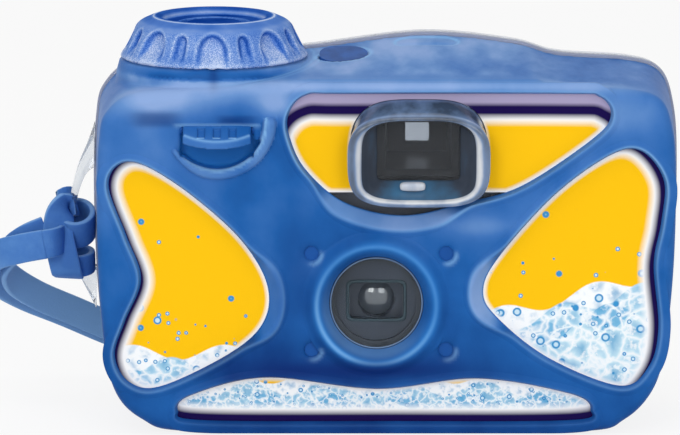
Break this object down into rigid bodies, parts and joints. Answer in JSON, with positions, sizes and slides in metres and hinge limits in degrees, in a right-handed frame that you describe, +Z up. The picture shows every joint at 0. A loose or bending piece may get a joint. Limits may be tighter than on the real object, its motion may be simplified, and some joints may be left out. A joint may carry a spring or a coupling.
{
  "type": "disposable film camera",
  "caption": "Waterproof single-use film camera: translucent blue case with label panels, lens window, viewfinder hood, fluted winding knob, shutter lever and wrist strap.",
  "frame": {"origin": "middle of the flat base that the case stands on", "axes": "+X to the right seen from the front, +Y from the lens towards the back, +Z up"},
  "size_m": [0.146, 0.089, 0.0842],
  "materials": {
    "blue_shell": "translucent moulded blue, satin outside",
    "clear_plastic": "clear moulded plastic, faint grey",
    "optical_clear": "clear polished window",
    "label_print": "printed film label, yellow field",
    "dark_plastic": "dark grey moulded plastic, fine grain",
    "seal_rubber": "black sealing rubber",
    "spring_steel": "bright spring wire",
    "white_plastic": "white moulded plastic",
    "film_base": "brown film base",
    "cassette_metal": "painted sheet metal",
    "strap_rubber": "soft matte blue rubber"
  },
  "bodies": {
    "case": {"front_shell": "blue_shell", "shell_pins": "blue_shell", "lever_bracket": "blue_shell", "shaft_bush": "blue_shell", "front_liner": "clear_plastic", "rear_shell": "clear_plastic", "viewfinder_hood": "clear_plastic", "strap_lug": "clear_plastic", "lens_window": "optical_clear", "taking_lens": "optical_clear", "finder_front_lens": "optical_clear", "finder_rear_lens": "optical_clear", "eyepiece_window": "optical_clear", "counter_window": "optical_clear", "label_top": "label_print", "label_left": "label_print", "label_right": "label_print", "label_bottom": "label_print", "lens_mask": "dark_plastic", "lens_barrel": "dark_plastic", "aperture_plate": "dark_plastic", "viewfinder_tunnel": "dark_plastic", "inner_frame": "dark_plastic", "inner_front": "dark_plastic", "inner_back": "dark_plastic", "case_gasket": "seal_rubber", "window_seal": "seal_rubber", "lever_seal": "seal_rubber", "shutter_spring": "spring_steel", "lever_spring": "spring_steel", "lever_pin": "spring_steel", "film_strip": "film_base", "film_cassette": "cassette_metal", "strap_knot": "strap_rubber", "strap_loop": "strap_rubber"},
    "winder": {"wind_knob": "blue_shell", "wind_shaft": "white_plastic", "shaft_seal": "seal_rubber", "drive_fork": "dark_plastic", "cassette_spool": "dark_plastic"},
    "sprocket": {"sprocket_wheel": "white_plastic"},
    "supply": {"supply_spool": "dark_plastic", "film_roll": "film_base"},
    "counter": {"counter_dial": "white_plastic"},
    "lever": {"shutter_lever": "blue_shell"},
    "trigger": {"shutter_trigger": "dark_plastic"},
    "blade": {"shutter_blade": "dark_plastic"}
  },
  "joints": [
    {"name": "knob_turn", "type": "hinge", "parent": "case", "child": "winder", "pos_m": [-0.0357, 0.001, 0.08], "axis": [0, 0, 1], "continuous": true},
    {"name": "sprocket_turn", "type": "hinge", "parent": "case", "child": "sprocket", "pos_m": [-0.0154, 0.0072, 0.043], "axis": [0, 0, 1], "continuous": true},
    {"name": "supply_turn", "type": "hinge", "parent": "case", "child": "supply", "pos_m": [0.033, 0.0035, 0.0273], "axis": [0, 0, 1], "continuous": true},
    {"name": "counter_turn", "type": "hinge", "parent": "case", "child": "counter", "pos_m": [-0.0052, 0.0085, 0.07], "axis": [0, 0, 1], "continuous": true},
    {"name": "lever_press", "type": "hinge", "parent": "case", "child": "lever", "pos_m": [-0.0347, -0.02, 0.0637], "axis": [1, 0, 0], "range_deg": [0, 12], "stiffness_Nm_per_rad": 0.03, "deforming": ["lever_spring"]},
    {"name": "trigger_rock", "type": "hinge", "parent": "case", "child": "trigger", "pos_m": [-0.006, -0.008, 0.056], "axis": [0, 1, 0], "range_deg": [0, 5.5]},
    {"name": "blade_swing", "type": "hinge", "parent": "case", "child": "blade", "pos_m": [-0.007, -0.0085, 0.033], "axis": [0, -1, 0], "range_deg": [0, 34.5]}
  ],
  "couplings": [
    {"joint": "sprocket_turn", "follows": "knob_turn", "ratio": 1.322},
    {"joint": "supply_turn", "follows": "knob_turn", "ratio": 0.769},
    {"joint": "counter_turn", "follows": "knob_turn", "ratio": -0.0441},
    {"joint": "trigger_rock", "follows": "lever_press", "ratio": 0.442},
    {"joint": "blade_swing", "follows": "lever_press", "ratio": 2.833}
  ]
}
